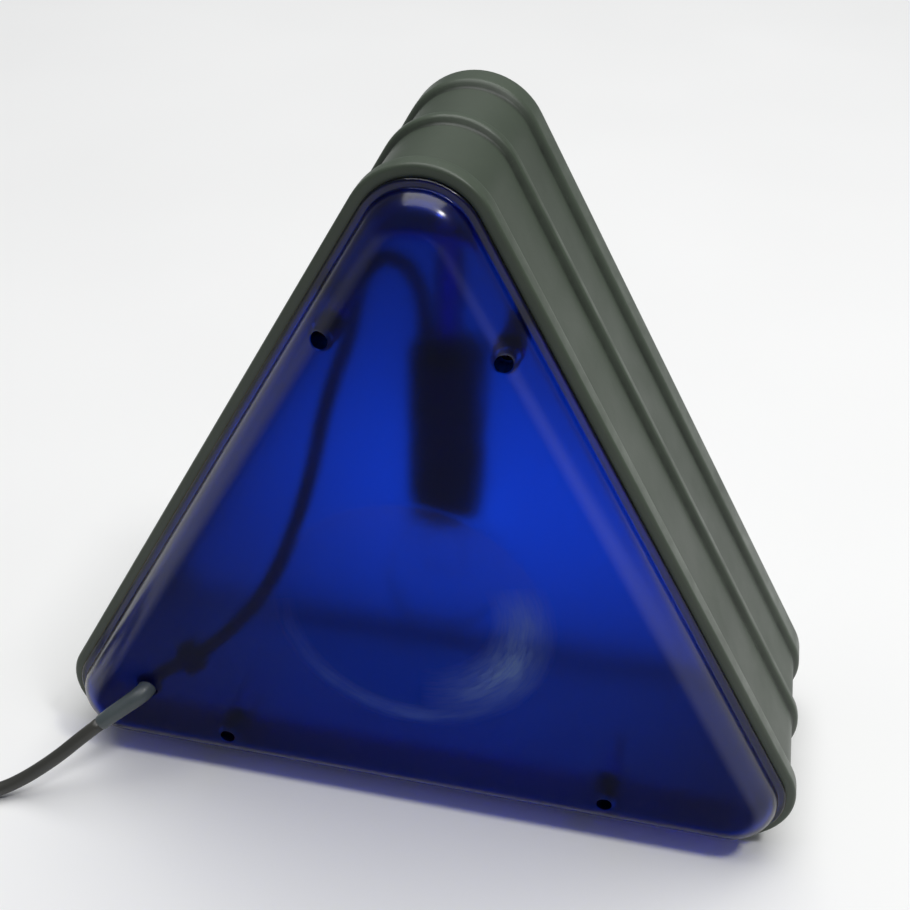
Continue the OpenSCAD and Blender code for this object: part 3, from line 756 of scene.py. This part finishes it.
for side in (-1, 1):
    neck_place = place_at((SWITCH_X + side * NECK_X, SWITCH_Y, NECK_Z), (side, 0, 0))
    bottom_parts.append(lathe(neck, neck_place, 36))
case_bottom = mesh_piece("switch_case_bottom", *joined(bottom_parts))
tidy_mesh(case_bottom, 40, 0.002 * MM)
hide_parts("switch_base")

lip = rounded_box(10.9, 5.5, 0.8, 4)
top_parts = [case_wall(CEILING, SPLIT_HIGH, CASE_TOP),
             flat_cap(case_plan(CASE_EDGE), 0, CASE_TOP, lip),
             strip([level(lip, CASE_TOP), level(OPENING, CASE_TOP - 0.3), level(OPENING, CEILING)]),
             flat_cap(inner_edge, CASE_POST, CEILING, OPENING)]
for c in CASE_SCREWS:
    top_parts.append(screw_strip(c, [(CASE_POST, CEILING), (CASE_POST, SPLIT_HIGH),
                                     (PILOT_R, SPLIT_HIGH), (PILOT_R, CASE_TOP - 3),
                                     (0, CASE_TOP - 3)]))
block = rounded_box(3, 1.2, 0.4, 3)
for side in (-1, 1):
    at = [(x, y + side * BEARING_Y) for x, y in block]
    small = [(x * 0.93, y * 0.85 + side * BEARING_Y) for x, y in block]
    verts, faces = strip([level(small, 10.5), level(at, 10.7), level(at, 15.3)])
    top_parts.append((verts, faces + end_faces(3, len(at))))
case_top = mesh_piece("switch_case_top", *joined(top_parts))
tidy_mesh(case_top, 40, 0.002 * MM)
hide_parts("switch_top")

pin_low, pin_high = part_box("switch_pin")
pivot = (pin_low + pin_high) / 2 / MM
rocker_tilt = Matrix.Rotation(math.radians(9), 3, "Y")
ROCKER_R, ROCKER_DROP = 28.6, 23.5  # radius of the rocker's face, and its centre below the pin
GRIP_R, GRIP_LONG, GRIP_SUNK = 0.4, 8, 0.15
grip_bar = rounded([(0.02, 0, 0), (GRIP_R, 0, 0.28), (GRIP_R, GRIP_LONG, 0.28),
                    (0.02, GRIP_LONG, 0)], 3)
grip_parts = []
for x in (-7.6, -6.4, -5.2, -4.0, 4.0, 5.2, 6.4, 7.6):
    crest = Vector((x, -GRIP_LONG / 2, math.sqrt(ROCKER_R ** 2 - x * x) - ROCKER_DROP - GRIP_SUNK))
    grip_parts.append(lathe(grip_bar, place_at(pivot + rocker_tilt @ crest, (0, 1, 0)), 14))
grips = mesh_piece("rocker_grips", *joined(grip_parts), body="rocker")
tidy_mesh(grips)


# ---------------------------------------------------------------- materials
def linear(*srgb):
    """A linear colour from three screen values of 0 to 255."""
    shares = [c / 255 for c in srgb]
    return tuple(c / 12.92 if c <= 0.04045 else ((c + 0.055) / 1.055) ** 2.4
                 for c in shares) + (1.0,)


class Finish:
    """A Principled material with a few short cuts for procedural detail in object coordinates."""

    def __init__(self, name):
        self.mat = bpy.data.materials.new(name)
        self.mat.use_nodes = True
        self.nt = self.mat.node_tree
        self.shader = self.nt.nodes["Principled BSDF"]
        self.out = self.nt.nodes["Material Output"]
        self.place = self.nt.nodes.new("ShaderNodeTexCoord").outputs["Object"]

    def set(self, **values):
        for key, value in values.items():
            self.shader.inputs[key.replace("_", " ")].default_value = value

    def link(self, a, b):
        self.nt.links.new(a, b)

    def node(self, kind, **values):
        n = self.nt.nodes.new(kind)
        for key, value in values.items():
            setattr(n, key, value)
        return n

    def noise(self, scale, detail=3, rough=0.55, stretch=None, place=None):
        n = self.node("ShaderNodeTexNoise")
        n.inputs["Scale"].default_value = scale
        n.inputs["Detail"].default_value = detail
        n.inputs["Roughness"].default_value = rough
        source = place or self.place
        if stretch:
            m = self.node("ShaderNodeMapping")
            m.inputs["Scale"].default_value = stretch
            self.link(source, m.inputs["Vector"])
            source = m.outputs["Vector"]
        self.link(source, n.inputs["Vector"])
        return n.outputs["Fac"]

    def ramp(self, fac, stops):
        n = self.node("ShaderNodeValToRGB")
        while len(n.color_ramp.elements) < len(stops):
            n.color_ramp.elements.new(0.5)
        for e, (at, color) in zip(n.color_ramp.elements, stops):
            e.position = at
            e.color = color if len(color) == 4 else (*color, 1)
        self.link(fac, n.inputs["Fac"])
        return n.outputs["Color"]

    def range(self, value, a, b, c, d):
        n = self.node("ShaderNodeMapRange")
        for key, v in zip(("From Min", "From Max", "To Min", "To Max"), (a, b, c, d)):
            n.inputs[key].default_value = v
        self.link(value, n.inputs["Value"])
        return n.outputs["Result"]

    def feed(self, socket, value):
        """Sets a socket to a number or colour, or links another socket to it."""
        if isinstance(value, (int, float, tuple)):
            socket.default_value = value
        else:
            self.link(value, socket)

    def attribute(self, name):
        return self.node("ShaderNodeAttribute", attribute_name=name).outputs["Fac"]

    def math(self, operation, *values):
        n = self.node("ShaderNodeMath", operation=operation)
        for socket, value in zip(n.inputs, values):
            self.feed(socket, value)
        return n.outputs[0]

    def times(self, a, b):
        return self.math("MULTIPLY", a, b)

    def peak(self, value, middle, width):
        """1 where a value is at the middle, falling to 0 a width away from it on both sides."""
        away = self.math("DIVIDE", self.math("SUBTRACT", value, middle), width)
        return self.math("SUBTRACT", 1.0, self.math("MINIMUM", 1.0, self.math("ABSOLUTE", away)))

    def mix(self, fac, a, b):
        n = self.node("ShaderNodeMix", data_type="RGBA")
        for i, v in ((0, fac), (6, a), (7, b)):     # the factor and colours of the RGBA form
            self.feed(n.inputs[i], v)
        return n.outputs[2]

    def bump(self, height, strength, distance, under=None):
        n = self.node("ShaderNodeBump")
        n.inputs["Strength"].default_value = strength
        n.inputs["Distance"].default_value = distance
        self.link(height, n.inputs["Height"])
        if under is not None:
            self.link(under, n.inputs["Normal"])
        return n.outputs["Normal"]

    def color(self, socket):
        self.link(socket, self.shader.inputs["Base Color"])

    def rough(self, socket):
        self.link(socket, self.shader.inputs["Roughness"])

    def normal(self, socket):
        self.link(socket, self.shader.inputs["Normal"])


def shaded(color, amount):
    """A colour made lighter or darker by an amount."""
    return tuple(min(1, c * amount) for c in color[:3]) + (1.0,)


def moulded(name, color, rough, grain=900, grain_depth=0.00004, mottle=0.12, specular=0.5):
    """Moulded plastic or rubber: slight mottling, a fine skin grain, and greasier patches."""
    f = Finish(name)
    f.set(Specular_IOR_Level=specular)
    cloud = f.noise(45, 4)
    tone = f.ramp(cloud, [(0.3, shaded(color, 1 - mottle)), (0.7, shaded(color, 1 + mottle))])
    dust = f.ramp(f.noise(2600, 2, 0.6), [(0.70, (0, 0, 0)), (0.80, (1, 1, 1))])
    f.color(f.mix(f.times(dust, 0.25), tone, shaded(color, 1.9)))
    f.rough(f.range(f.noise(70, 3), 0.3, 0.7, rough - 0.05, rough + 0.07))
    f.normal(f.bump(f.noise(grain, 2), 0.35, grain_depth))
    return f


def metal(name, color, rough, streak=(1, 1, 1)):
    """Plated or drawn metal with fine marks and uneven polish."""
    f = Finish(name)
    f.set(Metallic=1.0)
    marks = f.noise(600, 4, 0.7, stretch=streak)
    f.color(f.ramp(f.noise(160, 3), [(0.3, shaded(color, 0.82)), (0.7, shaded(color, 1.06))]))
    f.rough(f.range(marks, 0.3, 0.7, rough * 0.7, rough * 1.4))
    f.normal(f.bump(marks, 0.25, 0.00003))
    return f


def store(piece, name, values):
    """Stores a 0 to 1 value per point, for finishes that change with the shape."""
    attribute = piece.data.attributes.new(name, "FLOAT", "POINT")
    attribute.data.foreach_set("value", values)


def housing_finish(name, color, rough):
    """The ring's plastic: worn pale on its beads, painted shade in the creases beside the beads, with
    film and specks.
    """
    f = Finish(name)
    f.set(Specular_IOR_Level=0.4)
    cloud = f.noise(14, 5, 0.6)
    tone = f.ramp(cloud, [(0.32, shaded(color, 0.90)), (0.68, shaded(color, 1.10))])
    film = f.ramp(f.noise(60, 4, 0.6, stretch=(1, 0.25, 1)), [(0.45, (0, 0, 0)), (0.75, (1, 1, 1))])
    tone = f.mix(f.times(film, 0.10), tone, shaded(color, 1.5))
    specks = f.ramp(f.noise(1500, 2, 0.5), [(0.71, (0, 0, 0)), (0.78, (1, 1, 1))])
    tone = f.mix(f.times(specks, 0.22), tone, linear(150, 150, 140))
    patches = f.range(f.noise(120, 4, 0.7), 0.35, 0.65, 0.2, 1.0)
    worn = f.times(f.attribute("wear"), patches)
    tone = f.mix(f.times(worn, 0.30), tone, shaded(color, 1.9))
    # Painted shade: the creases beside the beads darken unevenly towards near black
    crease_shade = f.times(f.attribute("crease_shade_mask"), f.range(f.noise(90, 4, 0.7), 0.3, 0.6, 0.45, 0.9))
    tone = f.mix(crease_shade, tone, shaded(color, 0.22))
    f.color(tone)
    base_rough = f.range(f.noise(38, 4), 0.3, 0.7, rough - 0.04, rough + 0.07)
    f.rough(f.math("SUBTRACT", base_rough, f.times(worn, 0.10)))
    fine = f.bump(f.noise(1300, 3, 0.6), 0.30, 0.00004)
    f.normal(f.bump(f.noise(22, 3), 0.25, 0.0004, fine))
    return f


HOUSING = linear(65, 74, 62)
housing_mat = housing_finish("housing_plastic", HOUSING, 0.44)
lining_mat = moulded("housing_lining", linear(190, 190, 186), 0.6, mottle=0.06, specular=0.2)
wear_values, crease_shade_values = [], []
for inset, y in ring_profile:
    crest = 1.0 if inset < 0.35 else 0.0
    # The mask of painted shade is highest at each crease and fades over 1.6 mm
    nearest = min(abs(y - c) for c in CREASES)
    crease_shade_mask = max(0.0, 1 - nearest / 1.6) if 0.5 < inset < BAND + 0.1 else 0.0
    wear_values += [crest] * (3 * (RING_N + 1))
    crease_shade_values += [crease_shade_mask] * (3 * (RING_N + 1))
store(housing, "wear", wear_values)
store(housing, "crease_shade_mask", crease_shade_values)
for name in ("wear", "crease_shade_mask"):
    store(bezel, name, [0.0] * len(bezel.data.vertices))
for piece, finish in ((housing, housing_mat), (housing, lining_mat), (bosses, lining_mat),
                      (ribs, lining_mat), (pads, lining_mat), (bezel, housing_mat)):
    piece.data.materials.append(finish.mat)
for poly in housing.data.polygons:
    c = poly.center / MM
    if inset_at(c.x, c.z) > WALL - 0.15 and FRONT_Y + 0.3 < c.y < REAR_Y - 0.3:
        poly.material_index = 1


def lamp_through(f, share):
    """Lets light from lamps on through a see-through material, tinted by a share of each colour."""
    clear = f.node("ShaderNodeBsdfTransparent")
    clear.inputs["Color"].default_value = share
    chooser = f.node("ShaderNodeMixShader")
    f.link(f.node("ShaderNodeLightPath").outputs["Is Shadow Ray"], chooser.inputs["Fac"])
    behind = f.out.inputs["Surface"].links[0].from_socket
    f.link(behind, chooser.inputs[1])
    f.link(clear.outputs["BSDF"], chooser.inputs[2])
    f.link(chooser.outputs["Shader"], f.out.inputs["Surface"])


blue = Finish("blue_acrylic")
blue.set(Transmission_Weight=1.0, IOR=1.15, Coat_Roughness=0.16)
# A painted highlight streaked by fine scuffs that run round the dish, in a patch low on its right and
# along its rim
polar = blue.node("ShaderNodeSeparateXYZ")
blue.link(blue.place, polar.inputs[0])
px = polar.outputs["X"]
pz = blue.math("SUBTRACT", polar.outputs["Z"], DISH_Z * MM)
radius = blue.math("SQRT", blue.math("ADD", blue.times(px, px), blue.times(pz, pz)))
angle = blue.math("ARCTAN2", pz, px)
swirl_place = blue.node("ShaderNodeCombineXYZ")
blue.link(radius, swirl_place.inputs[0])
blue.link(blue.times(angle, 0.004), swirl_place.inputs[1])
swirl = blue.noise(900, 3, 0.6, place=swirl_place.outputs[0])
highlight_patch = blue.times(blue.peak(radius, 0.0385, 0.0120), blue.peak(angle, -0.50, 1.0))
rim_highlight = blue.times(blue.peak(radius, 0.0455, 0.004), blue.peak(angle, -1.6, 1.6))
scuffed_highlight = blue.times(blue.range(swirl, 0.36, 0.64, 0.40, 1.0),
                   blue.math("MAXIMUM", highlight_patch, blue.times(rim_highlight, 0.5)))
# The plastic is darker where it is seen edge on, and painted black down the wells as shade
edge_on = blue.node("ShaderNodeLayerWeight")
edge_on.inputs["Blend"].default_value = 0.5
tint = blue.ramp(edge_on.outputs["Facing"], [(0.30, (0.0008, 0.040, 0.56)),
                                             (0.62, (0.0006, 0.018, 0.30)),
                                             (0.85, (0.0004, 0.004, 0.08))])
# Painted shade: the walls down the screw wells turn near black
tint = blue.mix(blue.attribute("deep"), tint, (0.0003, 0.001, 0.004, 1))
# Painted highlight: pale blue-white colour, and less see-through, where the scuffed highlight lies
blue.color(blue.mix(blue.times(scuffed_highlight, 0.9), tint, (0.24, 0.36, 0.56, 1)))
blue.rough(blue.range(blue.noise(60, 4), 0.3, 0.7, 0.30, 0.38))
blue.link(blue.math("SUBTRACT", 1.0, blue.times(scuffed_highlight, 0.65)),
          blue.shader.inputs["Transmission Weight"])
blue.link(blue.range(blue.attribute("side"), 0.0, 1.0, 0.02, 0.75), blue.shader.inputs["Coat Weight"])
blue.normal(blue.bump(swirl, 0.05, 0.00002, blue.bump(blue.noise(160, 3), 0.08, 0.0001)))
lamp_through(blue, (0.002, 0.05, 0.42, 1))
well_shade_values, side_values = [], []
for v in cover.data.vertices:
    x, y, z = v.co / MM
    near = min(math.hypot(x - sx, z - sz) for sx, sz in SCREWS)
    # Points down the wells get the painted shade
    well_shade_values.append(1.0 if near < WELL_R + 0.2 and y > front_y(x, z) + 0.3 else 0.0)
    side_values.append(min(1, max(0, (FACE_IN - 1 - inset_at(x, z)) / 3)))
store(cover, "deep", well_shade_values)
store(cover, "side", side_values)
cover.data.materials.append(blue.mat)

opal = Finish("opal_acrylic")
opal.set(Roughness=0.35)
opal.color(opal.ramp(opal.noise(30, 3), [(0.3, (0.80, 0.80, 0.77)), (0.7, (0.86, 0.86, 0.83))]))
through = opal.node("ShaderNodeBsdfTranslucent")
through.inputs["Color"].default_value = (0.66, 0.67, 0.69, 1)
half = opal.node("ShaderNodeMixShader")
half.inputs["Fac"].default_value = 0.7
opal.link(opal.shader.outputs[0], half.inputs[1])
opal.link(through.outputs[0], half.inputs[2])
opal.link(half.outputs[0], opal.out.inputs["Surface"])
lamp_through(opal, (0.75, 0.75, 0.75, 1))

glass = Finish("clear_glass")
glass.set(Base_Color=(0.97, 0.98, 0.98, 1), Transmission_Weight=1.0, IOR=1.15)
glass.rough(glass.range(glass.noise(90, 3), 0.3, 0.7, 0.01, 0.05))
lamp_through(glass, (0.93, 0.94, 0.94, 1))

cord_pvc = moulded("cord_pvc", linear(58, 58, 54), 0.42, 700, 0.00006, mottle=0.10)
sleeve_pvc = moulded("sleeve_pvc", linear(72, 80, 82), 0.40, 500, 0.00006)
black = moulded("black_plastic", linear(26, 26, 26), 0.38)
holder_black = moulded("holder_plastic", linear(14, 14, 15), 0.28, grain=1200)
rocker_black = moulded("rocker_plastic", linear(30, 30, 30), 0.30)
rubber = moulded("black_rubber", linear(22, 22, 22), 0.7, 500, 0.0001)
white = moulded("white_plastic", linear(215, 214, 206), 0.4, mottle=0.05)
ceramic = moulded("ceramic", linear(205, 200, 188), 0.5, grain=700, mottle=0.06)
steel = metal("zinc_steel", (0.58, 0.59, 0.60, 1), 0.34, streak=(1, 1, 0.1))
dark_steel = metal("black_steel", (0.035, 0.035, 0.04, 1), 0.42)
brass = metal("brass", (0.70, 0.50, 0.20, 1), 0.28, streak=(1, 1, 0.1))
nickel = metal("nickel", (0.66, 0.64, 0.60, 1), 0.20)
tungsten = metal("tungsten", (0.24, 0.24, 0.26, 1), 0.5)

finishes = {
    "opal_panel": opal, "cover_screws": dark_steel, "foot_pads": rubber, "apex_bracket": steel,
    "bracket_screws": steel, "hanging_tube": steel, "tube_nuts": steel, "holder_cap": holder_black,
    "holder_skirt": holder_black, "holder_insert": ceramic, "holder_shell": brass,
    "holder_contact": brass, "terminal_screws": steel, "bulb_glass": glass, "bulb_cap": nickel,
    "bulb_insulator": black, "bulb_contact": nickel, "bulb_stem": glass, "bulb_filament": tungsten,
    "cord_stop": black, "switch_screws": steel, "switch_pin": steel, "switch_rocker": rocker_black,
    "switch_plunger": white, "switch_spring": steel, "switch_lever": brass,
    "switch_contacts": brass, "plug_pins": nickel}
for name, finish in finishes.items():
    node = nodes[name]
    if not node.material_slots:
        node.data.materials.append(finish.mat)
    for s in node.material_slots:
        s.material = finish.mat

# Widths in millimetres of the rounded edges on CAD nodes
edge_widths = {
    "switch_rocker": 0.35, "foot_pads": 0.15, "apex_bracket": 0.3, "hanging_tube": 0.15,
    "tube_nuts": 0.3, "holder_cap": 0.6, "holder_skirt": 0.5, "holder_insert": 0.2,
    "cord_stop": 0.5, "opal_panel": 0.3, "switch_screws": 0.15, "bracket_screws": 0.15,
    "terminal_screws": 0.1, "cover_screws": 0.15, "switch_lever": 0.1, "switch_contacts": 0.1}
for name, width in edge_widths.items():
    weld = nodes[name].modifiers.new("weld", "WELD")
    weld.merge_threshold = 0.01 * MM
    flat = nodes[name].modifiers.new("flat_faces", "DECIMATE")
    flat.decimate_type = "DISSOLVE"
    flat.angle_limit = math.radians(1)
    bevel = nodes[name].modifiers.new("worn_edges", "BEVEL")
    bevel.width = width * MM
    bevel.segments = 3
    bevel.limit_method = "ANGLE"
    bevel.angle_limit = math.radians(38)
    bevel.harden_normals = True

for piece, finish, slot_name in (
        (near_cord, cord_pvc, "cord_pvc"), (far_cord, cord_pvc, "cord_pvc"),
        (inner_cord, cord_pvc, "cord_pvc"), (sleeve, sleeve_pvc, "cord_pvc"),
        (tie, white, "white_plastic"), (plug, black, "black_plastic"),
        (grips, rocker_black, "black_plastic"), (case_bottom, black, "black_plastic"),
        (case_top, black, "black_plastic")):
    piece.data.materials.append(finish.mat)

# ---------------------------------------------------------------- floor, lights, world
FLOOR_HALF, FLOOR_Z = 12, -0.0002
floor_mesh = bpy.data.meshes.new("floor")
floor_mesh.from_pydata([(x * FLOOR_HALF, y * FLOOR_HALF, FLOOR_Z)
                        for x, y in ((-1, -1), (1, -1), (1, 1), (-1, 1))], [], [[0, 1, 2, 3]])
floor = bpy.data.objects.new("floor", floor_mesh)
bpy.context.scene.collection.objects.link(floor)
paper = Finish("floor_paper")
paper.set(Roughness=0.9, Specular_IOR_Level=0.1)
paper.color(paper.ramp(paper.noise(3, 2), [(0.3, (0.87, 0.87, 0.86)), (0.7, (0.90, 0.90, 0.89))]))
floor.data.materials.append(paper.mat)


def lamp(name, place, target, size, energy, spread=180):
    """A soft rectangular lamp that the camera doesn't see."""
    data = bpy.data.lights.new(name, "AREA")
    data.shape = "RECTANGLE"
    data.size, data.size_y = size
    data.energy = energy
    data.spread = math.radians(spread)
    light = bpy.data.objects.new(name, data)
    light.location = place
    light.rotation_euler = (Vector(target) - Vector(place)).to_track_quat("-Z", "Y").to_euler()
    light.visible_camera = False
    bpy.context.scene.collection.objects.link(light)


lamp("key", (0.72, -0.18, 1.40), (0, 0, 0.1), (0.21, 0.21), 6.2)
lamp("back", (0.012, 0.135, 0.08), (0.012, 0.0, 0.08), (0.14, 0.07), 0.045, spread=95)
lamp("sky", (0.0, 0.9, 3.5), (0, 0.2, 0), (3.6, 3.6), 120)
world = bpy.data.worlds.new("world")
world.use_nodes = True
background = world.node_tree.nodes["Background"]
background.inputs["Color"].default_value = (0.9, 0.93, 1.0, 1)
background.inputs["Strength"].default_value = 0.16
bpy.context.scene.world = world
bpy.context.scene.view_settings.view_transform = "Standard"
